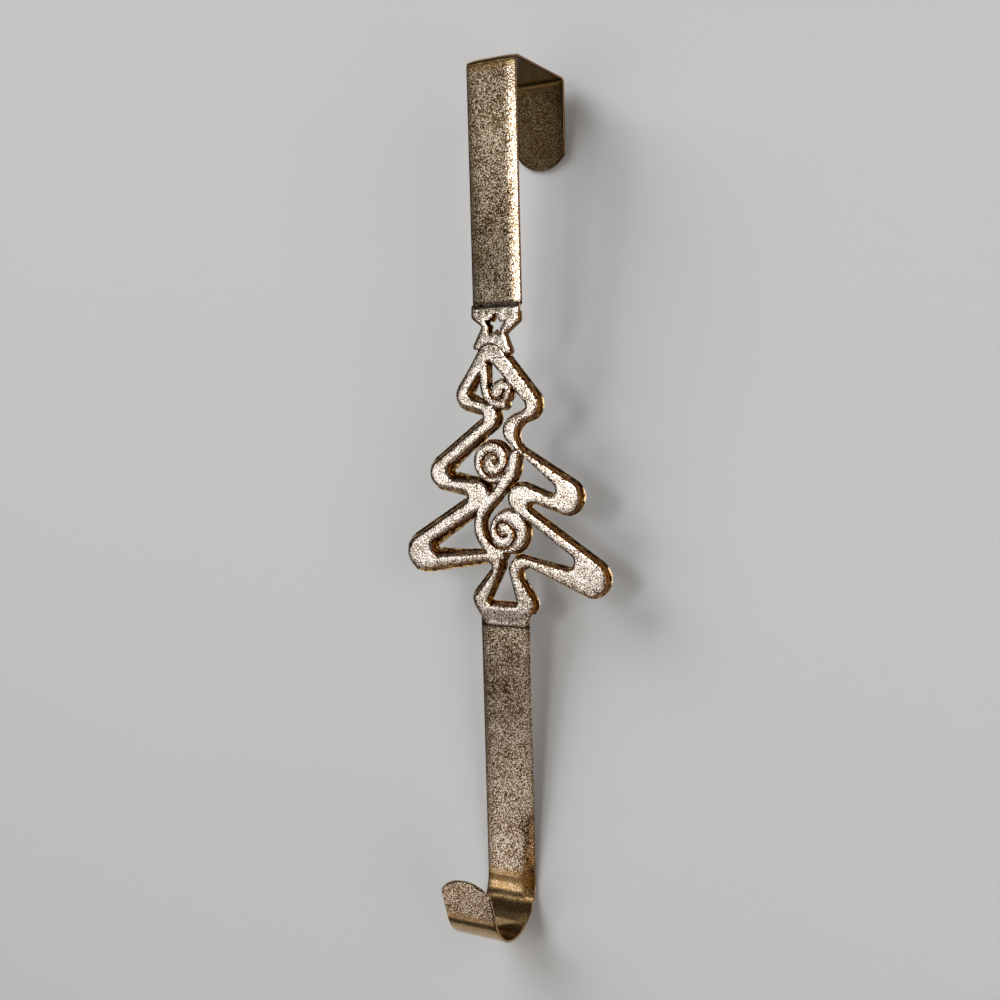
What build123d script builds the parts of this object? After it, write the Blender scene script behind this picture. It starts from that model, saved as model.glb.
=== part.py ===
from build123d import *
from functools import partial
from math import asin, atan2, copysign, cos, hypot, pi, radians, sin
import os

# A wreath hanger that hooks over the top of a door: a bent strip, an openwork cast tree, and a strip
# with a J-hook, joined one below the other by lap joints.
# Frame: +Z up, the front faces -Y, +X to the right. The origin is the centre of the bridge's underside,
# which is the face that rests on the door. All sizes are in millimetres.

# Strip stock of both straps
strip_width = 24.0
strip_thickness = 1.6

# Door strap: front leg, bridge over the door and return lip
door_gap = 45.0
front_leg = 105.0
lip_drop = 38.9
lip_end_rise = 6.6
bend_inside_radius = 1.4
front_leg_corner = 2.6

# Hook strap: straight run, J-hook and flared tip
hook_strap_length = 138.6
hook_outer_radius = 19.5
hook_sweep = 162.0
hook_tip_run = 20.2
hook_end_rise = 6.6
hook_strap_corner = 1.6

# Tree casting: depth, draft and the laps on the two straps
casting_proud = 2.5
star_set_back = 0.4
outer_draft = 2.0
opening_draft = 1.8
scroll_draft = 1.6
star_draft = 0.6
shoulder_depth = 0.6
shoulder_step = 0.5
foot_height = 1.0
foot_flare = 1.0
least_tip_radius = 0.5
lap_edge = 0.9
star_lap = 3.0
star_feather = 2.4
base_lap = 4.8
base_feather = 6.0
pad_inset = 0.8

# Scrolls and engraved spirals
scroll_half_width = 1.9
curl_half_width = 1.6
groove_half_width = 0.75
groove_floor = 0.2
groove_depth = 1.3

# Star opening
star_hole_radius = 5.5
star_hole_waist = 3.1
star_hole_draft = 1.8
star_points = 5
star_tilt = -3.0

# Margin by which cutting tools run past a face
overcut = 1.0

# Outlines of the casting, seen from the front. Each entry is a circle (x, z, radius) that the outline
# goes round: a positive radius is a rounded tip, a negative one a hollow. A fourth number is the slope of
# the wall there, 1 being the draft as it is named above. z is measured from the lower end of the front leg.
base_left_corner = (-8.0, -135.2, 0.6)
base_right_corner = (9.7, -134.7, 1.2)
tree_outline = [
    (-2.6, -21.1, 7.0),
    (-15.5, -35.8, 4.0, 1.5),
    (-10.2, -45.2, -3.8, 1.6),
    (-28.7, -69.7, 5.4, 1.5),
    (-18.5, -80.4, -3.3, 1.6),
    (-40.4, -105.6, 6.9, 1.5),
    (-8.3, -111.5, -4.5, 1.6),
    (-10.5, -125.7, 3.0, 1.6),
    base_left_corner,
    base_right_corner,
    (12.3, -126.3, 3.1),
    (12.6, -113.6, -4.2),
    (42.4, -113.7, 7.1),
    (16.2, -84.2, -2.9),
    (31.5, -79.4, 6.5),
    (16.3, -53.5, -8.0),
    (14.1, -40.0, 5.5),
]
tree_opening = [
    (-3.6, -22.8, 2.1, 1.1),
    (-11.0, -34.6, 3.4, 1.5),
    (-5.2, -45.2, -4.9, 1.1),
    (-21.8, -68.5, 4.9, 2.4),
    (-11.0, -79.0, -5.0, 1.8),
    (-31.4, -102.5, 5.0, 2.4),
    (-4.6, -109.0, -4.4, 1.2),
    (-5.4, -125.5, 2.2, 1.1),
    (5.5, -125.6, 2.2, 1.1),
    (9.5, -111.7, -5.4, 0.9),
    (31.4, -106.9, 4.1, 1.1),
    (10.2, -80.4, -5.6, 1.1),
    (24.2, -76.2, 3.3, 1.1),
    (8.9, -51.1, -6.1, 0.9),
    (11.3, -40.6, 2.9, 1.1),
]

# Bands inside the frame: the first and last entries are their end points, the rest are circles
scroll_path = [(7.8, -61.7, 0.0), (-3.5, -64.4, -11.0), (1.5, -92.8, 12.2), (-0.1, -105.3, 0.0)]
curl_path = [(-6.2, -22.0, 0.0), (1.4, -32.0, 7.4), (2.9, -39.7, 0.0)]

# Rosettes (x, z, radius) that carry the spirals
rosettes = [(-3.2, -64.8, 8.6), (4.1, -95.0, 8.9), (1.9, -34.4, 4.6)]

# Engraved spirals: first circle (x, z, radius), pitch, starting heading, sweeps of the arcs, hand
spirals = [
    ((-2.9, -63.4, 7.5), 2.5, 0.0, [180.0, 180.0, 150.0], -1),
    ((1.5, -93.8, 8.5), 2.7, -55.0, [55.0, 180.0, 200.0], 1),
    ((0.1, -33.9, 3.4), 2.0, -90.0, [180.0], 1),
]

# Star on top of the tree: its waists and legs, then the depth of its two side points
star_left_waist = (-7.7, -6.6, -1.2)
star_left_leg = (-10.0, -14.9, 0.8)
star_right_leg = (6.3, -17.1, 0.8)
star_right_waist = (5.7, -10.1, -1.2)
star_left_point = -2.2
star_right_point = -4.1
star_centre = (-0.3, -5.9)
star_corner_radius = 0.6

# Planes and lengths that follow from the sizes above
half_width = strip_width / 2
back_face = door_gap / 2
strip_face = back_face + strip_thickness
tree_front = strip_face + casting_proud
star_front = tree_front - star_set_back
middle = back_face + strip_thickness / 2
base_edge = base_left_corner[1] - base_left_corner[2]
hook_strap_top = base_edge + base_lap


def heading(first, second):
    """Direction of the line that leaves the first signed circle and joins the second one."""
    across = second[0] - first[0]
    up = second[1] - first[1]
    return atan2(up, across) - asin((second[2] - first[2]) / hypot(across, up))


def touch(circle, angle, grow=0.0):
    """Point of a signed circle, moved outward by grow, where the outline has this heading."""
    x, z, radius = circle
    return x + (radius + grow) * sin(angle), z - (radius + grow) * cos(angle)


def bend(circle, start, end, grow=0.0):
    """Three points of the arc round a signed circle between two headings."""
    full = 2 * pi
    turn = (end - start) % full if circle[2] >= 0 else -((start - end) % full)
    return tuple(touch(circle, start + turn * share, grow) for share in (0.0, 0.5, 1.0))


def outline(segments):
    """Closed wire from runs of two points and arcs of three."""
    return Wire([Line(*points) if len(points) == 2 else ThreePointArc(*points) for points in segments])


def grown(circle, start, end, grow):
    """Signed circle moved outward by grow, times its own slope, between two headings.

    A tip or hollow that would vanish keeps the least radius and draws back between its two runs.
    """
    x, z, radius = circle[:3]
    slope = circle[3] if len(circle) > 3 else 1.0
    reach = radius + grow * slope
    least = copysign(least_tip_radius, radius)
    if (reach - least) * least < 0:
        shift = (reach - least) / (1 + cos(end - start))
        x += shift * (sin(start) + sin(end))
        z -= shift * (cos(start) + cos(end))
        reach = least
    return x, z, reach


def headings(ring):
    """Headings of the runs between the circles of a closed ring."""
    return [heading(first, second) for first, second in zip(ring, ring[1:] + ring[:1])]


def belt(circles, grow=0.0):
    """Closed outline round a ring of signed circles, moved outward by grow."""
    angles = headings(circles)
    ring = [grown(circle, angles[at - 1], angles[at], grow) for at, circle in enumerate(circles)]
    angles = headings(ring)
    segments = []
    for at, circle in enumerate(ring):
        segments.append(bend(circle, angles[at - 1], angles[at]))
        segments.append((touch(circle, angles[at]), touch(ring[at + 1 - len(ring)], angles[at])))
    return outline(segments)


def path_side(path, grow):
    """One side of a band along a path of signed circles, with the headings of its two ends."""
    angles = [heading(first, second) for first, second in zip(path, path[1:])]
    segments = []
    for index, angle in enumerate(angles):
        if index:
            segments.append(bend(path[index], angles[index - 1], angle, grow))
        segments.append((touch(path[index], angle, grow), touch(path[index + 1], angle, grow)))
    return segments, angles[0], angles[-1]


def spiral_side(first, pitch, start, sweeps, hand, grow):
    """One side of a spiral of arcs, each smaller than the last by the pitch."""
    x, z, radius = first
    angle = radians(start)
    segments = []
    for sweep in sweeps:
        end = angle + hand * radians(sweep)
        segments.append(bend((x, z, hand * radius), angle, end, grow))
        angle = end
        x += hand * pitch * sin(angle)
        z -= hand * pitch * cos(angle)
        radius -= pitch
    return segments, radians(start), angle


def band(side, half, grow=0.0):
    """Closed outline with round ends, half a width to each side of a path."""
    reach = half + grow
    right, start, end = side(reach)
    left = [points[::-1] for points in side(-reach)[0][::-1]]
    tip = midpoint(right[-1][-1], left[0][0])
    tail = midpoint(right[0][0], left[-1][-1])
    return outline(right + [bend(tip, end, end + pi, reach)] + left + [bend(tail, start + pi, start, reach)])


def midpoint(first, second):
    """Point circle half way between two points."""
    return (first[0] + second[0]) / 2, (first[1] + second[1]) / 2, 0.0


def drafted(shape, levels):
    """Solid whose walls pass through an outline at each level (distance in front of the origin, grow)."""
    return Solid.make_loft([Plane.XZ.offset(distance) * shape(grow=grow) for distance, grow in levels], True)


def raised(shape, front, draft, flare):
    """Cast form with a sloped shoulder at the front, a steep wall and a flared foot at the back."""
    foot = (back_face + foot_height, draft - flare)
    return drafted(shape, [(front, 0.0), (front - shoulder_depth, shoulder_step), foot, (back_face, draft)])


def opened(shape, front, draft, flare):
    """Tool for an opening that narrows from the front shoulder to the flared foot round its back edge."""
    mouth = [(front + shoulder_depth, shoulder_step), (front - shoulder_depth, -shoulder_step)]
    foot = [(back_face + foot_height, flare - draft), (back_face, -draft), (back_face - overcut, -draft)]
    return drafted(shape, mouth + foot)


def rosette(x, z, radius, grow=0.0):
    """Round outline of a rosette."""
    return Wire.make_circle(radius + grow, Plane((x, z, 0)))


def bent_strip(path):
    """Strip of full width along a path of signed circles in the side view, with square ends."""
    half = strip_thickness / 2
    right = path_side(path, half)[0]
    left = [points[::-1] for points in path_side(path, -half)[0][::-1]]
    ends = [(right[-1][-1], left[0][0]), (left[-1][-1], right[0][0])]
    side_view = Face(outline(right + ends[:1] + left + ends[1:]))
    return extrude(Plane.YZ * side_view, half_width, both=True)


def end_waste(plane, rise):
    """Waste beyond a strip's round end: the plane's origin is the end's tip, and its y axis leads out."""
    radius = (half_width**2 + rise**2) / (2 * rise)
    blank = Pos(0, -rise / 2) * Rectangle(2 * strip_width, rise)
    return extrude(plane * (blank - Pos(0, -radius) * Circle(radius)), 2 * strip_thickness, both=True)


def corners(strap, end):
    """Edges at the corners of a strap's lowest (0) or highest (-1) square end."""
    return strap.edges().filter_by(Axis.Y).group_by(Axis.Z)[end]


def door_strap():
    """Strip that goes over the door: front leg, bridge and lip with a round end."""
    bend_radius = bend_inside_radius + strip_thickness / 2
    bend_place = back_face - bend_inside_radius
    path = [
        (-middle, -front_leg, 0.0),
        (-bend_place, -bend_inside_radius, -bend_radius),
        (bend_place, -bend_inside_radius, -bend_radius),
        (middle, -lip_drop, 0.0),
    ]
    strap = bent_strip(path)
    strap -= end_waste(Plane((0, middle, -lip_drop), (1, 0, 0), (0, 1, 0)), lip_end_rise)
    return chamfer(corners(strap, 0), front_leg_corner)


def hook_strap():
    """Strip below the tree that ends in a J-hook with a flared, round tip."""
    top = hook_strap_top - front_leg
    hook_radius = hook_outer_radius - strip_thickness / 2
    hook = (-back_face - hook_outer_radius, top - hook_strap_length + hook_outer_radius, -hook_radius)
    angle = -pi / 2 - radians(hook_sweep)
    leave = touch(hook, angle)
    tip = (leave[0] + hook_tip_run * cos(angle), leave[1] + hook_tip_run * sin(angle), 0.0)
    strap = bent_strip([(-middle, top, 0.0), hook, tip])
    tip_plane = Plane((0, tip[0], tip[1]), (1, 0, 0), (0, -sin(angle), cos(angle)))
    strap -= end_waste(tip_plane, hook_end_rise)
    return chamfer(corners(strap, -1), hook_strap_corner)


def star():
    """Star with a pad above it that laps the front leg, and a star-shaped opening."""
    side = half_width - pad_inset - star_corner_radius
    pad_top = star_lap - star_corner_radius
    points = [
        (side, pad_top, star_corner_radius),
        (-side, pad_top, star_corner_radius),
        (-side, star_left_point, star_corner_radius),
        star_left_waist,
        star_left_leg,
        star_right_leg,
        star_right_waist,
        (side, star_right_point, star_corner_radius),
    ]
    hole = [(tree_front, 0.0), (back_face - overcut, -star_hole_draft)]
    return raised(partial(belt, points), star_front, star_draft, 0.0) - drafted(star_ring, hole)


def star_ring(grow=0.0):
    """Star-shaped outline: points and waists turn by turn round its centre."""
    ring = []
    for index in range(2 * star_points):
        radius = (star_hole_waist if index % 2 else star_hole_radius) + grow
        angle = radians(90 + star_tilt) + pi * index / star_points
        ring.append((star_centre[0] + radius * cos(angle), star_centre[1] + radius * sin(angle)))
    return outline(list(zip(ring, ring[1:] + ring[:1])))


def lap_waste(end, edge, feather, lead):
    """Waste of a lap joint: the strap's seat behind the pad and the slope on the pad's front.

    end is the height of the strap's end, edge that of the pad's edge, lead +1 where the strap leaves upward.
    """
    past = edge + lead * strip_width
    start = edge - lead * feather
    foot = -strip_face - lap_edge
    behind = -back_face + overcut
    before = -tree_front - strip_width
    seat = [(-strip_face, end), (behind, end), (behind, past), (-strip_face, past)]
    slope = [(-tree_front, start), (foot, edge), (foot, past), (before, past), (before, start)]
    views = [Face(Wire.make_polygon([(0, y, z) for y, z in points])) for points in (seat, slope)]
    return [extrude(view, strip_width, both=True, dir=(1, 0, 0)) for view in views]


def tree_casting():
    """Openwork tree with a scroll, a curl, spiral rosettes and a star, cast in one piece."""
    body = raised(partial(belt, tree_outline), tree_front, outer_draft, foot_flare)
    body -= opened(partial(belt, tree_opening), tree_front, opening_draft, foot_flare)
    for path, half in ((scroll_path, scroll_half_width), (curl_path, curl_half_width)):
        shape = partial(band, partial(path_side, path), half)
        body += raised(shape, tree_front, scroll_draft, foot_flare)
    for x, z, radius in rosettes:
        body += raised(partial(rosette, x, z, radius), tree_front, scroll_draft, foot_flare)
    body += star()
    for spiral in spirals:
        side = partial(spiral_side, *spiral)
        cut = [(tree_front, 0.0), (tree_front - groove_depth, groove_floor - groove_half_width)]
        body -= drafted(partial(band, side, groove_half_width), cut)
    laps = lap_waste(0.0, star_lap, star_feather, 1) + lap_waste(hook_strap_top, base_edge, base_feather, -1)
    for waste in laps:
        body -= waste
    return Pos(0, 0, -front_leg) * body


os.makedirs("parts", exist_ok=True)
for build in (door_strap, tree_casting, hook_strap):
    export_step(build(), f"parts/{build.__name__}.step")
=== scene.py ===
"""Dress of a wreath hanger that hooks over a door: two plated straps, a cast tree and their studio.

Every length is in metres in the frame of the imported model: +Z up, the front faces -Y, and the
origin is the centre of the bridge's underside. Sizes are written in millimetres times MM.
"""

from __future__ import annotations

import logging
from dataclasses import dataclass
from enum import Enum

import bmesh
import bpy
import numpy as np
from mathutils import Matrix, Vector


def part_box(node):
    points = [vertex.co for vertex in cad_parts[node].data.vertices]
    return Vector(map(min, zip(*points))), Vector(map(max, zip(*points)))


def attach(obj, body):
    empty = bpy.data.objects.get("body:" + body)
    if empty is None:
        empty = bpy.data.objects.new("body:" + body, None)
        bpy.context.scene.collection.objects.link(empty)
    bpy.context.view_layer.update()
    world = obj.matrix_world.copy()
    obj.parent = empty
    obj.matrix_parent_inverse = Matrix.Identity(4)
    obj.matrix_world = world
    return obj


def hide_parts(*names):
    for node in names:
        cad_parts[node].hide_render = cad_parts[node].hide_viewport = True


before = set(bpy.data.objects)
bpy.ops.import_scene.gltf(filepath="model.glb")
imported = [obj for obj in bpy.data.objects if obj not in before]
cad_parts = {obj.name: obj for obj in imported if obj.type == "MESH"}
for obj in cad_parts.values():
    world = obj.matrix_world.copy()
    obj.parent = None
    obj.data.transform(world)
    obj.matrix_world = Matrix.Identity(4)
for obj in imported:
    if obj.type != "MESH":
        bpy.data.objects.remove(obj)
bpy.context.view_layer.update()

MM = 0.001
BODY = "root"
GRID_MERGE = 0.002 * MM

log = logging.getLogger("wreath_hanger")


class Slot(Enum):
    """Slot names for the strip and the casting."""

    STRIP = "plated_strip"
    CASTING = "plated_casting"


def linear(colour: str) -> tuple[float, float, float, float]:
    """Turn a colour into the linear values that shaders take, by the sRGB curve.

    Args:
        colour: sRGB hex value such as "#C0A080".

    Returns:
        Linear red, green and blue, and an alpha of 1.
    """
    parts = np.array([int(colour[at:at + 2], 16) for at in (1, 3, 5)]) / 255
    curve = np.where(parts <= 0.04045, parts / 12.92, ((parts + 0.055) / 1.055) ** 2.4)
    return (*curve.tolist(), 1.0)


def add_node(tree: bpy.types.NodeTree, kind: str, settings: dict | None = None,
             links: dict | None = None) -> bpy.types.Node:
    """Add one node to a node tree.

    Args:
        tree: Node tree that gets the node.
        kind: Blender's name of the node's type.
        settings: Values by property name, or by input name or number. "stops" holds the
            (place, colour) pairs of a ramp.
        links: Sockets to link from, by input name or number.

    Returns:
        The new node.
    """
    node = tree.nodes.new(kind)
    for key, value in (settings or {}).items():
        if key == "stops":
            stops = node.color_ramp.elements
            while len(stops) < len(value):
                stops.new(1.0)
            for stop, (place, colour) in zip(stops, value):
                stop.position = place
                stop.color = linear(colour)
        elif isinstance(key, str) and hasattr(node, key):
            setattr(node, key, value)
        else:
            node.inputs[key].default_value = value
    for key, socket in (links or {}).items():
        tree.links.new(socket, node.inputs[key])
    return node


def add_marks(mesh: bpy.types.Mesh, marks: dict[str, np.ndarray]) -> None:
    """Store values for each corner of a mesh as attributes, which the finishes read."""
    for name, values in marks.items():
        mesh.attributes.new(name, "FLOAT", "POINT").data.foreach_set("value", np.ravel(values))


def mesh_from_grid(name: str, points: np.ndarray, faces: np.ndarray,
                   marks: dict[str, np.ndarray]) -> bpy.types.Mesh:
    """Put a grid of points into a mesh.

    Args:
        name: Name of the mesh.
        points: Corner places, one row each.
        faces: Corner numbers of the quads, four in each row.
        marks: Values for each corner, by the name of the attribute that the finish reads.

    Returns:
        A smooth-shaded mesh with its doubles merged and its faces outward.
    """
    mesh = bpy.data.meshes.new(name)
    mesh.from_pydata(points.tolist(), [], faces.tolist())
    add_marks(mesh, marks)
    work = bmesh.new()
    work.from_mesh(mesh)
    bmesh.ops.remove_doubles(work, verts=work.verts, dist=GRID_MERGE)
    bmesh.ops.recalc_face_normals(work, faces=work.faces)
    work.to_mesh(mesh)
    work.free()
    mesh.polygons.foreach_set("use_smooth", np.ones(len(mesh.polygons), bool))
    mesh.update()
    return mesh


def corner_arrays(mesh: bpy.types.Mesh) -> tuple[np.ndarray, np.ndarray]:
    """Read a mesh's corners.

    Args:
        mesh: Mesh to read.

    Returns:
        Corner places and corner normals, one row each.
    """
    places = np.empty(len(mesh.vertices) * 3)
    mesh.vertices.foreach_get("co", places)
    normals = np.empty(len(mesh.vertices) * 3)
    mesh.vertex_normals.foreach_get("vector", normals)
    return places.reshape(-1, 3), normals.reshape(-1, 3)


def place_piece(name: str, mesh: bpy.types.Mesh, node: str,
                material: bpy.types.Material) -> None:
    """Show a mesh as the piece that stands for a CAD node, riding on the one body.

    Args:
        name: Name of the piece.
        mesh: Its finished mesh, in its place.
        node: CAD node that it replaces.
        material: Finish of the whole piece.
    """
    piece = bpy.data.objects.new(name, mesh)
    bpy.context.scene.collection.objects.link(piece)
    mesh.materials.clear()
    mesh.materials.append(material)
    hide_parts(node)
    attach(piece, BODY)
    log.info("%s: %d faces, stands for %s", name, len(mesh.polygons), node)


@dataclass(frozen=True)
class PlatedMetal:
    """Champagne-gold plating over a sand-textured metal: facets that glitter pale, brown and dark.

    The plating is bright and nearly mirror-like, and the grit under it tilts it in fine facets, so
    the eye sees pale sparks beside brown ones instead of one sheen. Where the metal was drawn round
    a bend, it is smoother and more golden. Sheared edges show a redder brown, the strip's inside
    carries painted shade in a dark olive brown, and a dark line is drawn along a seam.
    """

    name: str
    specks: tuple[tuple[float, str], ...]
    grit: float
    grit_height: float
    roughness: float
    grain_detail: float = 2.0
    facet_scale: float = 0.7
    facet_detail: float = 3.0
    facet_slice: float = 3.0
    cloud: float = 9 * MM
    cloud_depth: float = 0.16
    cloud_detail: float = 2.0
    cloud_roughness: tuple[float, float] = (0.7, 1.4)
    smoothed: float = 0.25
    drawn: str = "#C49C5C"
    # Colour of the painted shade on the strip's inside.
    painted_inner_shade: str = "#402E06"
    sheared: str = "#8A5C3C"
    # Colour of the dark line drawn along a seam, just past the edge of the overlapping piece.
    seam_line: str = "#160C06"

    def colour(self, tree: bpy.types.NodeTree, grains: bpy.types.NodeSocket,
               clouds: bpy.types.NodeSocket) -> bpy.types.NodeSocket:
        """Colour the plating: the grains, shifted by the clouds, run through the speck colours.

        Args:
            tree: Node tree of the material.
            grains: Noise of the grit.
            clouds: Noise of the slow changes in tone.

        Returns:
            Colour output.
        """
        shift = add_node(tree, "ShaderNodeMath", {"operation": "SUBTRACT", 1: 0.5}, {0: clouds})
        value = add_node(tree, "ShaderNodeMath",
                         {"operation": "MULTIPLY_ADD", 1: self.cloud_depth},
                         {0: shift.outputs[0], 2: grains})
        ramp = add_node(tree, "ShaderNodeValToRGB", {"stops": self.specks},
                        {"Fac": value.outputs[0]})
        shade = ramp.outputs["Color"]
        # One of these marks paints shade, in a dark olive brown, on the inside of the door strap.
        tints = {"bend": self.drawn, "thin": self.painted_inner_shade, "edge": self.sheared, "seam": self.seam_line}
        for name, tint in tints.items():
            mark = add_node(tree, "ShaderNodeAttribute", {"attribute_name": name}).outputs["Fac"]
            mix = add_node(tree, "ShaderNodeMix", {"data_type": "RGBA", 7: linear(tint)},
                           {0: mark, 6: shade})
            shade = mix.outputs[2]
        return shade

    def relief(self, tree: bpy.types.NodeTree) -> bpy.types.NodeSocket:
        """Lay the grit flatter where the metal was drawn round a bend.

        Args:
            tree: Node tree of the material.

        Returns:
            Output with the share of the grit's height.
        """
        bend = add_node(tree, "ShaderNodeAttribute", {"attribute_name": "bend"}).outputs["Fac"]
        share = add_node(tree, "ShaderNodeMapRange", {"To Min": 1.0, "To Max": self.smoothed},
                         {"Value": bend})
        return share.outputs[0]

    def material(self) -> bpy.types.Material:
        """Build the node material of this plating.

        The facets are a slice of their own through a noise of four dimensions, so that they don't
        follow the grains of the colour.

        Returns:
            The new material.
        """
        material = bpy.data.materials.new(self.name)
        material.use_nodes = True
        tree = material.node_tree
        tree.nodes.clear()
        place = add_node(tree, "ShaderNodeTexCoord").outputs["Object"]
        grains = add_node(tree, "ShaderNodeTexNoise",
                          {"Scale": 1 / self.grit, "Detail": self.grain_detail},
                          {"Vector": place}).outputs["Fac"]
        facets = add_node(tree, "ShaderNodeTexNoise",
                          {"noise_dimensions": "4D", "W": self.facet_slice,
                           "Scale": self.facet_scale / self.grit, "Detail": self.facet_detail},
                          {"Vector": place}).outputs["Fac"]
        clouds = add_node(tree, "ShaderNodeTexNoise",
                          {"Scale": 1 / self.cloud, "Detail": self.cloud_detail},
                          {"Vector": place}).outputs["Fac"]
        smooth, dull = self.cloud_roughness
        rough = add_node(tree, "ShaderNodeMapRange",
                         {"To Min": self.roughness * smooth, "To Max": self.roughness * dull},
                         {"Value": clouds})
        bump = add_node(tree, "ShaderNodeBump", {"Distance": self.grit_height},
                        {"Height": facets, "Strength": self.relief(tree)})
        shader = add_node(tree, "ShaderNodeBsdfPrincipled", {"Metallic": 1.0},
                          {"Base Color": self.colour(tree, grains, clouds),
                           "Roughness": rough.outputs[0], "Normal": bump.outputs["Normal"]})
        add_node(tree, "ShaderNodeOutputMaterial", {}, {"Surface": shader.outputs[0]})
        return material


@dataclass(frozen=True)
class CastPlating(PlatedMetal):
    """Plating on a casting: pale speckled faces, and smooth amber walls that end in a pale foot.

    The faces were tumbled bright and keep the grit. The walls are smooth and amber, with painted
    reflections in dark and bright bands by depth, and a painted highlight along the rim of the
    foot.
    """

    # Wall colour by depth: amber, with dark and bright bands that are painted reflections.
    walls: tuple[tuple[float, str], ...] = ()
    wall_streak: float = 2.6 * MM
    streak_detail: float = 3.0
    streak_reach: float = 1.1
    # Colour of the painted highlight along the rim of the foot.
    rim: str = "#FFF2D6"
    rim_fade: tuple[float, float] = (0.03, 0.14)
    edge_specks: float = 0.45

    def colour(self, tree: bpy.types.NodeTree, grains: bpy.types.NodeSocket,
               clouds: bpy.types.NodeSocket) -> bpy.types.NodeSocket:
        """Colour the faces as plating, and the walls by depth in amber with painted reflection
        bands, which noise shifts in streaks.

        Args:
            tree: Node tree of the material.
            grains: Noise of the grit.
            clouds: Noise of the slow changes in tone.

        Returns:
            Colour output.
        """
        middle = add_node(tree, "ShaderNodeAttribute", {"attribute_name": "middle"}).outputs["Fac"]
        clean = add_node(tree, "ShaderNodeMath",
                         {"operation": "MULTIPLY_ADD", 1: self.edge_specks},
                         {0: middle, 2: clouds})
        faces = super().colour(tree, grains, clean.outputs[0])
        place = add_node(tree, "ShaderNodeTexCoord").outputs["Object"]
        streaks = add_node(tree, "ShaderNodeTexNoise",
                           {"Scale": 1 / self.wall_streak, "Detail": self.streak_detail},
                           {"Vector": place})
        wander = add_node(tree, "ShaderNodeMath",
                          {"operation": "MULTIPLY_ADD", 1: self.streak_reach,
                           2: -self.streak_reach / 2},
                          {0: streaks.outputs["Fac"]})
        depth = add_node(tree, "ShaderNodeAttribute", {"attribute_name": "depth"}).outputs["Fac"]
        level = add_node(tree, "ShaderNodeMath", {"operation": "ADD"},
                         {0: depth, 1: wander.outputs[0]})
        # Painted reflections: dark and bright bands on the amber walls.
        walls = add_node(tree, "ShaderNodeValToRGB", {"stops": self.walls},
                         {"Fac": level.outputs[0]})
        # Painted highlight along the rim of the foot, laid over the walls.
        near = add_node(tree, "ShaderNodeAttribute", {"attribute_name": "rim"}).outputs["Fac"]
        none, full = self.rim_fade
        rim_highlight = add_node(tree, "ShaderNodeMapRange", {"From Min": none, "From Max": full},
                          {"Value": near})
        rims = add_node(tree, "ShaderNodeMix", {"data_type": "RGBA", 7: linear(self.rim)},
                        {0: rim_highlight.outputs[0], 6: walls.outputs["Color"]})
        face = add_node(tree, "ShaderNodeAttribute", {"attribute_name": "face"}).outputs["Fac"]
        mix = add_node(tree, "ShaderNodeMix", {"data_type": "RGBA"},
                       {0: face, 6: rims.outputs[2], 7: faces})
        return mix.outputs[2]

    def relief(self, tree: bpy.types.NodeTree) -> bpy.types.NodeSocket:
        """Lay the grit flatter on the walls.

        Args:
            tree: Node tree of the material.

        Returns:
            Output with the share of the grit's height.
        """
        face = add_node(tree, "ShaderNodeAttribute", {"attribute_name": "face"}).outputs["Fac"]
        share = add_node(tree, "ShaderNodeMapRange", {"To Min": self.smoothed, "To Max": 1.0},
                         {"Value": face})
        return share.outputs[0]


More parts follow.
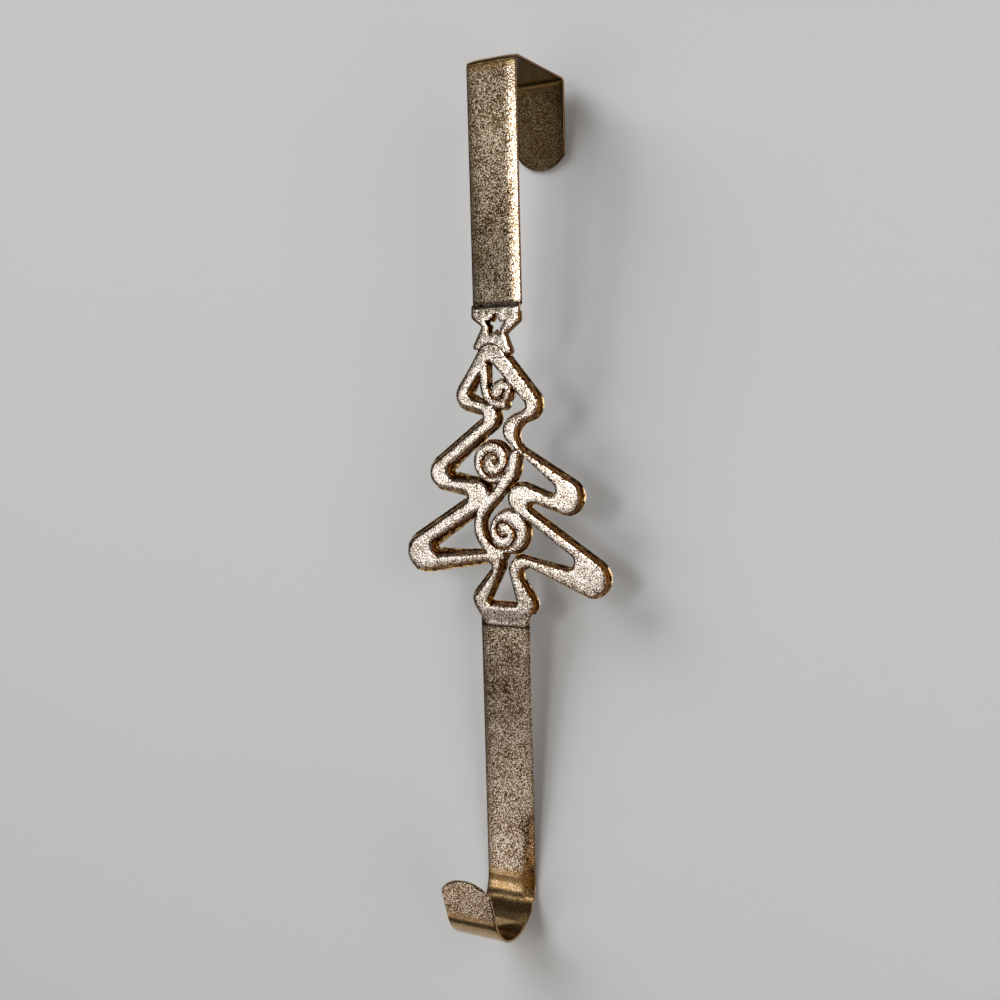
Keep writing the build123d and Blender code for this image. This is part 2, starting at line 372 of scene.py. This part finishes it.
@dataclass
class Strip:
    """Plated strip with eased edges that follows straight runs and arcs in the side view.

    Runs are (length, turn) pairs: the heading turns evenly over a run's length, in radians. The
    front is 1 where the strip's front lies to the left of its path, and -1 where it lies right.
    """

    name: str
    node: str
    start: tuple[float, float]
    heading: float
    runs: list[tuple[float, float]]
    front: float
    width: float
    thickness: float
    end_rise: float = 6.6 * MM
    corner: float = 2.6 * MM
    edge_round: float = 0.6 * MM
    edge_roll: float = 0.5 * MM
    roll_width: float = 6.5 * MM
    row_step: float = 0.5 * MM
    end_rows: int = 6
    face_columns: int = 33
    face_bunching: float = 0.8
    edge_columns: int = 9
    edge_sharpness: int = 4
    shear: float = 1.0
    seam: float = 0.0
    seam_reach: float = 1.1 * MM
    # Painted shade on the inside: where it starts along the strip, how fast it fades in, and its
    # share.
    inner_shade_from: float = np.inf
    inner_shade_fade: float = 12 * MM
    inner_shade_share: float = 0.84
    bend_share: float = 0.62
    bend_fade: float = 4 * MM

    def follow(self, distance: np.ndarray) -> tuple[np.ndarray, np.ndarray, np.ndarray]:
        """Walk along the strip's middle line.

        A straight run adds its length along the heading. An arc of radius length / turn adds the
        radius times the change of the sine and of minus the cosine of the heading.

        Args:
            distance: Distances from the start, of any shape.

        Returns:
            Places along y and z, and headings, in the shape of the distances.
        """
        y = np.full_like(distance, self.start[0])
        z = np.full_like(distance, self.start[1])
        heading = np.full_like(distance, self.heading)
        passed = 0.0
        for length, turn in self.runs:
            part = np.clip(distance - passed, 0.0, length)
            swing = turn * part / length
            if turn:
                y += length / turn * (np.sin(heading + swing) - np.sin(heading))
                z += length / turn * (np.cos(heading) - np.cos(heading + swing))
            else:
                y += part * np.cos(heading)
                z += part * np.sin(heading)
            heading = heading + swing
            passed += length
        return y, z, heading

    def bent(self, distance: np.ndarray) -> np.ndarray:
        """Find where the strip was bent: fully in the arcs, fading out along the runs beside them.

        Args:
            distance: Distances from the start, of any shape.

        Returns:
            Share of the bend at each distance, from 0 to 1.
        """
        share = np.zeros_like(distance)
        passed = 0.0
        for length, turn in self.runs:
            inside = np.minimum(distance - passed, passed + length - distance)
            fade = np.clip(1 + inside / self.bend_fade, 0.0, 1.0)
            share = np.maximum(share, fade * (turn != 0))
            passed += length
        return share

    def section(self) -> tuple[np.ndarray, np.ndarray]:
        """Work out the strip's section.

        Both faces run across the width, in columns that a sine bunches towards the edges, and each
        edge is half an ellipse as high as the strip is thick.

        Returns:
            Places across the width, and heights from the middle plane in half thicknesses, once
            round.
        """
        flat = self.width / 2 - self.edge_round
        share = np.linspace(-1.0, 1.0, self.face_columns)
        quarter = np.pi / 2
        across = (flat * np.sin(share * quarter * self.face_bunching)
                  / np.sin(quarter * self.face_bunching))
        turn = np.linspace(quarter, -quarter, self.edge_columns)[1:-1]
        edge = flat + self.edge_round * np.cos(turn)
        face = np.ones_like(across)
        x = np.concatenate([across, edge, across[::-1], -edge[::-1]])
        height = np.concatenate([face, np.sin(turn), -face, np.sin(turn[::-1])])
        return x, height

    def spacing(self, x: np.ndarray) -> tuple[np.ndarray, np.ndarray]:
        """Space the grid's rows along the strip.

        Each column starts at the cut corner and stops on the round end, an arc through both edges
        and the tip. The thickness closes to nothing at both ends along a quarter circle, so the
        ends are eased too.

        Args:
            x: Places across the width, one for each column.

        Returns:
            Distances from the start and shares of the thickness, one row for each row of the grid.
        """
        half = self.width / 2
        total = sum(length for length, _ in self.runs)
        radius = (half ** 2 + self.end_rise ** 2) / (2 * self.end_rise)
        first = np.maximum(0.0, np.abs(x) - (half - self.corner))
        last = total - (radius - np.sqrt(radius ** 2 - x ** 2))
        turn = np.linspace(0.0, np.pi / 2, self.end_rows)[:, None]
        ends = self.edge_round * (1 - np.cos(turn))
        rows = np.linspace(0.0, 1.0, int(total / self.row_step))[1:-1, None]
        inner = first + self.edge_round + (last - first - 2 * self.edge_round) * rows
        distance = np.concatenate([first + ends, inner, (last - ends)[::-1]])
        near = np.clip(np.minimum(distance - first, last - distance) / self.edge_round, 0.0, 1.0)
        closing = np.sqrt(np.clip(1 - (1 - near) ** 2, 0.0, 1.0))
        return distance, closing

    def marks(self, distance: np.ndarray, closing: np.ndarray,
              height: np.ndarray) -> dict[str, np.ndarray]:
        """Mark what the finish shows: bends, sheared edges, painted shade inside, and the seam.

        An edge grows with one minus a power of the height, and the seam is a bell curve along the
        strip.

        Args:
            distance: Distances from the start, rows by columns.
            closing: Shares of the thickness, in the same shape.
            height: Heights from the middle plane in half thicknesses, one for each column.

        Returns:
            Values for each corner, by the name of the attribute.
        """
        inside = np.clip(-height * self.front, 0.0, 1.0)
        # Painted shade on the inside of the strip, from a distance along it onward.
        thin = np.clip((distance - self.inner_shade_from) / self.inner_shade_fade, 0.0, 1.0)
        seam = np.where(height * self.front > 0, self.seam, 0.0)
        return {
            "bend": self.bend_share * self.bent(distance),
            "edge": self.shear * (1 - closing * np.abs(height) ** self.edge_sharpness),
            "thin": self.inner_shade_share * thin * inside,
            "seam": np.exp(-((distance - seam) / self.seam_reach) ** 2),
        }

    def surface(self) -> bpy.types.Mesh:
        """Carry the section along the path.

        A corner stands off the middle line, square to the heading, by its height times half the
        thickness. Near its edges the front face falls back from that by the roll times the square
        of the share of the rolled width.

        Returns:
            Closed mesh of the strip.
        """
        x, height = self.section()
        distance, closing = self.spacing(x)
        rolled = np.clip((np.abs(x) - self.width / 2 + self.roll_width) / self.roll_width, 0.0, 1.0)
        fall = np.where(height * self.front > 0, self.edge_roll * rolled ** 2, 0.0)
        offset = closing * (height * (self.thickness / 2 - fall))
        y, z, heading = self.follow(distance)
        places = [np.broadcast_to(x, y.shape),
                  y - offset * np.sin(heading),
                  z + offset * np.cos(heading)]
        rows, columns = y.shape
        before = np.arange(rows - 1)[:, None] * columns
        here = before + np.arange(columns)
        beside = before + np.roll(np.arange(columns), -1)
        faces = np.stack([here, beside, beside + columns, here + columns], -1)
        return mesh_from_grid(self.name, np.stack(places, -1).reshape(-1, 3), faces.reshape(-1, 4),
                              self.marks(distance, closing, height))

    def build(self, material: bpy.types.Material) -> None:
        """Make the strip and show it in place of its CAD node."""
        place_piece(self.name, self.surface(), self.node, material)


@dataclass
class Straps:
    """The strip over the door and the strip with the J-hook, on the CAD model's middle lines."""

    width: float = 24 * MM
    thickness: float = 1.6 * MM
    door_gap: float = 45 * MM
    front_leg: float = 105 * MM
    lip_drop: float = 38.9 * MM
    bend_inside: float = 1.4 * MM
    # How far below the bridge the painted shade on the strip's inside starts.
    inner_shade_below: float = 24 * MM
    star_lap: float = 3.0 * MM
    star_seam: float = 0.2 * MM
    hook_top: float = -236 * MM
    hook_length: float = 138.6 * MM
    hook_outer: float = 19.5 * MM
    hook_sweep: float = np.radians(162)
    hook_tip: float = 20.2 * MM
    hook_corner: float = 1.6 * MM
    hook_shear: float = 0.35
    base_lap: float = 4.8 * MM
    base_seam: float = 1.0 * MM

    @property
    def front_plane(self) -> float:
        """Middle plane of both straps in front of the door, along y."""
        return -(self.door_gap + self.thickness) / 2

    def door_strap(self) -> Strip:
        """Lay out the strip up the front of the door, over its top and down behind it.

        Returns:
            The strip. Its inside carries painted shade from a little below the bridge onward.
        """
        bend = (self.bend_inside + self.thickness / 2) * np.pi / 2
        runs = [
            (self.front_leg - self.bend_inside, 0.0),
            (bend, -np.pi / 2),
            (self.door_gap - 2 * self.bend_inside, 0.0),
            (bend, -np.pi / 2),
            (self.lip_drop - self.bend_inside, 0.0),
        ]
        return Strip("plated_door_strap", "door_strap", start=(self.front_plane, -self.front_leg),
                     heading=np.pi / 2, runs=runs, front=1.0,
                     width=self.width, thickness=self.thickness,
                     seam=self.star_lap + self.star_seam,
                     inner_shade_from=self.front_leg - self.inner_shade_below)

    def hook_strap(self) -> Strip:
        """Lay out the strip that leaves the tree downward and bends forward to the J-hook.

        Returns:
            The strip.
        """
        radius = self.hook_outer - self.thickness / 2
        runs = [
            (self.hook_length - self.hook_outer, 0.0),
            (radius * self.hook_sweep, -self.hook_sweep),
            (self.hook_tip, 0.0),
        ]
        return Strip("plated_hook_strap", "hook_strap", start=(self.front_plane, self.hook_top),
                     heading=-np.pi / 2, runs=runs, front=-1.0,
                     width=self.width, thickness=self.thickness,
                     seam=self.base_lap + self.base_seam,
                     corner=self.hook_corner, shear=self.hook_shear)

    def build(self, material: bpy.types.Material) -> None:
        """Make both straps."""
        self.door_strap().build(material)
        self.hook_strap().build(material)


@dataclass
class TreeCasting:
    """Openwork tree with its star and scrolls, with the soft edges of a plated casting.

    Branches that split and meet are no grid of two parameters, so the form is the CAD casting
    itself: a copy is merged, laid out again in small even quads, and softened.
    """

    name: str = "plated_tree_casting"
    node: str = "tree_casting"
    merge: float = 0.001 * MM
    rim_reach: float = 0.01 * MM
    rim_lean: float = 0.1
    least_length: float = 1e-6
    foot_wear: float = 0.26 * MM
    most_wear: float = 1.2 * MM
    quad: float = 0.38 * MM
    back_normal: float = 0.995
    back_share: float = 0.74
    back_gain: float = 2.0
    back_clean: float = 0.5
    soften: tuple[float, ...] = (0.5, -0.52)
    wall_normal: float = 0.74
    face_normal: float = 0.9
    face_depths: tuple[float, float] = (0.42, 0.55)
    spread_share: float = 0.7
    rim_passes: int = 3
    crown: float = 0.5 * MM
    crown_passes: int = 16
    ripple_height: float = 0.02 * MM
    ripple_lengths: tuple[float, ...] = (2.3 * MM, 3.1 * MM, 4.3 * MM, 5.9 * MM)
    ripple_waves: int = 3
    seed: int = 11

    def merged_copy(self) -> bpy.types.Mesh:
        """Copy the CAD casting, merged, with its foot pushed out by what the quads wear off it.

        The flat back has corners on its rims alone. Each of them goes out in the plane of the back
        by the wear times one over the normal's share along the back, less one: the thinner the rim,
        the more it wears.

        Returns:
            Closed mesh.
        """
        work = bmesh.new()
        work.from_mesh(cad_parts[self.node].data)
        bmesh.ops.remove_doubles(work, verts=work.verts, dist=self.merge)
        mesh = bpy.data.meshes.new("merged_casting")
        work.to_mesh(mesh)
        work.free()
        points, normals = corner_arrays(mesh)
        flat = normals * (1.0, 0.0, 1.0)
        length = np.linalg.norm(flat, axis=1, keepdims=True)
        flat /= np.maximum(length, self.least_length)
        lean = np.clip(normals[:, 1], self.rim_lean, 1.0)
        wear = np.clip(self.foot_wear * (1 / lean - 1), 0.0, self.most_wear)
        rim = points[:, 1] > points[:, 1].max() - self.rim_reach
        mesh.vertices.foreach_set("co", (points + flat * (rim * wear)[:, None]).ravel())
        mesh.update()
        return mesh

    def apply(self, mesh: bpy.types.Mesh, kind: str, settings: dict,
              group: np.ndarray | None = None) -> bpy.types.Mesh:
        """Apply one modifier to a mesh, which it uses up.

        Args:
            mesh: Mesh to work on.
            kind: Blender's name of the modifier's type.
            settings: Values by property name.
            group: Corner numbers that the modifier is kept to.

        Returns:
            The finished mesh.
        """
        helper = bpy.data.objects.new(self.name, mesh)
        bpy.context.scene.collection.objects.link(helper)
        modifier = helper.modifiers.new(kind.lower(), kind)
        if group is not None:
            helper.vertex_groups.new(name="kept_to").add(group.tolist(), 1.0, "REPLACE")
            modifier.vertex_group = "kept_to"
        for name, value in settings.items():
            setattr(modifier, name, value)
        graph = bpy.context.evaluated_depsgraph_get()
        result = bpy.data.meshes.new_from_object(helper.evaluated_get(graph))
        result.name = self.name
        bpy.data.objects.remove(helper)
        bpy.data.meshes.remove(mesh)
        return result

    def even_mesh(self) -> bpy.types.Mesh:
        """Lay the casting out again in small even quads, with fewer faces on the flat back.

        Returns:
            Closed mesh.
        """
        quads = {"mode": "VOXEL", "voxel_size": self.quad}
        mesh = self.apply(self.merged_copy(), "REMESH", quads)
        back = np.flatnonzero(corner_arrays(mesh)[1][:, 1] > self.back_normal)
        return self.apply(mesh, "DECIMATE", {"ratio": self.back_share}, back)

    def spread(self, values: np.ndarray, edges: np.ndarray,
               shares: tuple[float, ...]) -> np.ndarray:
        """Move each corner's values towards the mean of its neighbours, once for each share.

        A share above 0 evens the values out, and one below 0 sharpens them again, so a pair of both
        wears off the edges and keeps the volume.

        Args:
            values: One row of values for each corner.
            edges: Pairs of corner numbers.
            shares: How far to go each time, 1 being all the way.

        Returns:
            The new values.
        """
        ends = np.concatenate([edges, edges[:, ::-1]])
        count = len(values)
        neighbours = np.bincount(ends[:, 0], minlength=count)[:, None]
        for share in shares:
            sums = [np.bincount(ends[:, 0], column[ends[:, 1]], count) for column in values.T]
            values = values + share * (np.stack(sums, -1) / neighbours - values)
        return values

    def ripple(self, points: np.ndarray) -> np.ndarray:
        """Work out the unevenness of a cast face: plane waves of a few lengths, summed.

        The waves run in seeded directions, and their sum is divided by the root of their number.

        Args:
            points: Corner places.

        Returns:
            Height at each corner.
        """
        draw = np.random.default_rng(self.seed)
        waves = np.zeros(len(points))
        for length in self.ripple_lengths:
            for _ in range(self.ripple_waves):
                direction = draw.normal(size=3)
                direction /= np.linalg.norm(direction)
                start = draw.uniform(0, 2 * np.pi)
                waves += np.sin(points @ direction * (2 * np.pi / length) + start)
        return self.ripple_height * waves / np.sqrt(len(self.ripple_lengths) * self.ripple_waves)

    def depth(self, points: np.ndarray) -> np.ndarray:
        """Depth of each corner behind the tree's foremost point, as a share of the whole."""
        low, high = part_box(self.node)
        return (points[:, 1:2] - low.y) / (high.y - low.y)

    def face_share(self, points: np.ndarray, normals: np.ndarray) -> np.ndarray:
        """Tell the front faces from the walls, by a corner's turn to the front and its depth.

        Args:
            points: Corner places.
            normals: Corner normals.

        Returns:
            One column: 1 on a face, 0 on a wall, and between them on the edge.
        """
        steep = self.face_normal - self.wall_normal
        forward = np.clip((-normals[:, 1:2] - self.wall_normal) / steep, 0.0, 1.0)
        full, none = self.face_depths
        return forward * np.clip((none - self.depth(points)) / (none - full), 0.0, 1.0)

    def build(self, material: bpy.types.Material) -> None:
        """Make the casting and show it in place of its CAD node.

        Its faces are crowned: they sink towards their edges by the crown times one minus the
        evened-out share of face around a corner.

        Args:
            material: Finish of the casting.
        """
        mesh = self.even_mesh()
        edges = np.empty(len(mesh.edges) * 2, np.int32)
        mesh.edges.foreach_get("vertices", edges)
        edges = edges.reshape(-1, 2)
        points, normals = corner_arrays(mesh)
        points = self.spread(points, edges, self.soften)
        face = self.face_share(points, normals)
        middle = self.spread(face, edges, (self.spread_share,) * self.crown_passes)
        points[:, 1] += self.crown * (face * (1 - middle))[:, 0]
        points -= normals * (self.ripple_height + self.ripple(points))[:, None]
        points = np.clip(points, *(np.array(corner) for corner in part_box(self.node)))
        mesh.vertices.foreach_set("co", points.ravel())
        mesh.polygons.foreach_set("use_smooth", np.ones(len(mesh.polygons), bool))
        mesh.update()
        back = np.clip(normals[:, 1:2] * self.back_gain, 0.0, 1.0)
        marks = {
            "face": np.maximum(face, back),
            "middle": np.where(back > 0, self.back_clean, middle),
            "depth": self.depth(points),
            # Near the foot's rim, where the finish paints a highlight.
            "rim": self.spread(back, edges, (self.spread_share,) * self.rim_passes),
        }
        add_marks(mesh, marks)
        place_piece(self.name, mesh, self.node, material)


@dataclass(frozen=True)
class Lamp:
    """Soft rectangular lamp, placed by its distance and its direction, in degrees."""

    name: str
    azimuth: float
    elevation: float
    distance: float
    size: tuple[float, float]
    radiance: float
    mirrored: bool = True

    def hang(self, target: Vector) -> None:
        """Hang the lamp and aim it at a target. Its power is its radiance times pi times its area.

        Args:
            target: Place that the lamp's direction and distance start from.
        """
        turn, rise = np.radians((self.azimuth, self.elevation))
        way = Vector((np.sin(turn) * np.cos(rise), -np.cos(turn) * np.cos(rise), np.sin(rise)))
        data = bpy.data.lights.new(self.name, "AREA")
        data.shape = "RECTANGLE"
        data.size, data.size_y = self.size
        data.energy = self.radiance * np.pi * data.size * data.size_y
        light = bpy.data.objects.new(self.name, data)
        light.visible_glossy = self.mirrored
        light.location = target + self.distance * way
        light.rotation_euler = (-way).to_track_quat("-Z", "Y").to_euler()
        bpy.context.scene.collection.objects.link(light)


@dataclass
class Studio:
    """Pale board behind the hanger, soft light and the photograph's viewing angle.

    The bands run from straight down (0) to straight up (1), and the sides from left (0) to right
    (1). Touch places are along y and z.
    """

    lip_touch: tuple[float, float] = (24.4 * MM, -38.9 * MM)
    hook_touch: tuple[float, float] = (-22.2 * MM, -357 * MM)
    wall_reach: float = 10.0
    wall_colour: str = "#ECEEF0"
    background: str = "#E4E2DE"
    mirrored_share: float = 0.06
    eye: tuple[float, float, float] = (240.438 * MM, -465.441 * MM, -141.643 * MM)
    forward: tuple[float, float, float] = (-0.47759, 0.87410, -0.08862)
    up: tuple[float, float, float] = (-0.01942, 0.09034, 0.99572)
    sensor: float = 36.0
    lens: float = 41.73
    clip_start: float = 10 * MM
    lamp_target: tuple[float, float, float] = (0.0, -25 * MM, -170 * MM)
    lamps: tuple[Lamp, ...] = (
        Lamp("key_upper_left", azimuth=-52, elevation=42, distance=3.5, size=(2.2, 2.2),
             radiance=4.0, mirrored=False),
        Lamp("window_left", azimuth=-27, elevation=-4, distance=1.2, size=(0.56, 0.34),
             radiance=1.0),
        Lamp("window_front", azimuth=-11, elevation=12, distance=1.2, size=(0.32, 0.40),
             radiance=4.5),
        Lamp("window_right", azimuth=58, elevation=4, distance=1.2, size=(0.62, 1.2),
             radiance=1.5),
    )
    bands: tuple[tuple[float, str], ...] = (
        (0.0, "#1A1512"), (0.088, "#080605"), (0.112, "#F5E8DE"), (0.13, "#F7EEE6"),
        (0.19, "#817B75"), (0.26, "#9B9590"), (0.295, "#FAF3EE"), (0.33, "#FAF3EE"),
        (0.348, "#746B64"), (0.37, "#827A73"), (0.43, "#A9A39D"), (0.50, "#898376"),
        (0.545, "#6E685C"), (0.575, "#5C574A"), (0.605, "#FAF4E8"), (0.63, "#C1B9A8"),
        (0.65, "#1A1811"), (0.72, "#14120C"), (0.76, "#F9F2E2"), (0.79, "#443B30"),
        (0.84, "#17130E"), (0.93, "#201B15"), (1.0, "#88867F"))
    sides: tuple[tuple[float, str], ...] = (
        (0.0, "#4A443C"), (0.14, "#6A665C"), (0.23, "#FFFFFF"), (0.34, "#FFFFFF"),
        (0.50, "#C8C2BA"), (0.68, "#6A6058"), (1.0, "#9C9894"))

    def camera(self) -> None:
        """Set the camera where the photograph was taken."""
        lens = bpy.data.cameras.new("photo_camera")
        lens.sensor_width = self.sensor
        lens.lens = self.lens
        lens.clip_start = self.clip_start
        camera = bpy.data.objects.new("photo_camera", lens)
        bpy.context.scene.collection.objects.link(camera)
        back = -Vector(self.forward).normalized()
        right = Vector(self.up).cross(back).normalized()
        turn = Matrix((right, back.cross(right), back)).transposed()
        camera.matrix_world = Matrix.Translation(self.eye) @ turn.to_4x4()
        bpy.context.scene.camera = camera

    def wall(self) -> None:
        """Lay the hanger on a plain pale board.

        The board touches the end of the lip and the hook's back. Seen from behind, it is clear.
        """
        lean = ((self.lip_touch[0] - self.hook_touch[0])
                / (self.lip_touch[1] - self.hook_touch[1]))
        reach = self.wall_reach
        low, high = (self.lip_touch[0] + lean * (z - self.lip_touch[1]) for z in (-reach, reach))
        corners = [(-reach, low, -reach), (reach, low, -reach),
                   (reach, high, reach), (-reach, high, reach)]
        mesh = bpy.data.meshes.new("pale_board")
        mesh.from_pydata(corners, [], [(0, 1, 2, 3)])
        material = bpy.data.materials.new("matt_painted_board")
        material.use_nodes = True
        tree = material.node_tree
        tree.nodes.clear()
        behind = add_node(tree, "ShaderNodeNewGeometry").outputs["Backfacing"]
        paint = add_node(tree, "ShaderNodeBsdfDiffuse", {"Color": linear(self.wall_colour)})
        clear = add_node(tree, "ShaderNodeBsdfTransparent")
        mix = add_node(tree, "ShaderNodeMixShader", {},
                       {0: behind, 1: paint.outputs[0], 2: clear.outputs[0]})
        add_node(tree, "ShaderNodeOutputMaterial", {}, {"Surface": mix.outputs[0]})
        mesh.materials.append(material)
        board = bpy.data.objects.new("pale_board", mesh)
        bpy.context.scene.collection.objects.link(board)

    def light(self) -> None:
        """Hang the soft lamps, each aimed at the tree."""
        for lamp in self.lamps:
            lamp.hang(Vector(self.lamp_target))

    def room(self) -> None:
        """Fill the room with soft bands of light, and show the eye a pale background.

        A direction's height picks the band, its place from left to right picks how much of the band
        is left, and the light is one times the other. The metal mirrors a share of the pale
        background too.
        """
        world = bpy.data.worlds.new("studio_room")
        world.use_nodes = True
        bpy.context.scene.world = world
        tree = world.node_tree
        tree.nodes.clear()
        way = add_node(tree, "ShaderNodeTexCoord").outputs["Generated"]
        parts = add_node(tree, "ShaderNodeSeparateXYZ", {}, {0: way})
        tints = []
        for axis, stops in (("Z", self.bands), ("X", self.sides)):
            level = add_node(tree, "ShaderNodeMapRange", {"From Min": -1.0},
                             {"Value": parts.outputs[axis]})
            ramp = add_node(tree, "ShaderNodeValToRGB", {"stops": stops},
                            {"Fac": level.outputs[0]})
            tints.append(ramp.outputs["Color"])
        light = add_node(tree, "ShaderNodeMix",
                         {"data_type": "RGBA", "blend_type": "MULTIPLY", 0: 1.0},
                         {6: tints[0], 7: tints[1]})
        dim = add_node(tree, "ShaderNodeBackground", {"Strength": 1.0}, {"Color": light.outputs[2]})
        pale = add_node(tree, "ShaderNodeBackground",
                        {"Color": linear(self.background), "Strength": 1.0})
        ray = add_node(tree, "ShaderNodeLightPath").outputs
        clear = add_node(tree, "ShaderNodeMath", {"operation": "MAXIMUM"},
                         {0: ray["Is Camera Ray"], 1: ray["Is Transmission Ray"]})
        seen = add_node(tree, "ShaderNodeMath",
                        {"operation": "MULTIPLY_ADD", 1: self.mirrored_share},
                        {0: ray["Is Glossy Ray"], 2: clear.outputs[0]})
        mix = add_node(tree, "ShaderNodeMixShader", {},
                       {0: seen.outputs[0], 1: dim.outputs[0], 2: pale.outputs[0]})
        add_node(tree, "ShaderNodeOutputWorld", {}, {"Surface": mix.outputs[0]})

    def build(self) -> None:
        """Set up the camera, wall, lamps and room."""
        bpy.context.scene.view_settings.view_transform = "Standard"
        self.camera()
        self.wall()
        self.light()
        self.room()


# Rolled steel strip, plated: a fine glitter of pale, tan and dark specks. The real grit is about
# 0.3 mm, too fine to show here, so it is drawn coarser.
STRIP_PLATING = PlatedMetal(
    "champagne_plated_steel_strip",
    specks=((0.35, "#1E1208"), (0.45, "#826849"), (0.52, "#BA9E7C"), (0.60, "#FFF6EA")),
    grit=0.54 * MM, grit_height=0.06 * MM, roughness=0.14)

# Zinc casting, plated: pale faces whose dark specks gather along their edges, and amber walls with
# painted reflections in dark and bright bands by depth, from the face (0) to the foot (1). Its grit
# is drawn coarser too, to show.
CASTING_PLATING = CastPlating(
    "champagne_plated_zinc_casting",
    specks=((0.45, "#1C0E05"), (0.515, "#725438"), (0.58, "#DCC8B4"), (0.665, "#FFFAF4")),
    grit=0.62 * MM, grit_height=0.09 * MM, roughness=0.15, cloud=4 * MM, cloud_depth=0.25,
    walls=((0.0, "#A87438"), (0.10, "#B8823E"), (0.20, "#42200A"), (0.32, "#6A320E"),
           (0.42, "#C88A3C"), (0.50, "#5C2C0E"), (0.66, "#341608"), (0.80, "#8E5E26"),
           (0.90, "#F0D090"), (1.0, "#A87838")))


def main() -> None:
    """Build the hanger's pieces and its studio."""
    logging.basicConfig(level=logging.INFO, format="%(name)s: %(message)s")
    Studio().build()
    Straps().build(STRIP_PLATING.material())
    TreeCasting().build(CASTING_PLATING.material())


if __name__ == "__main__":
    main()
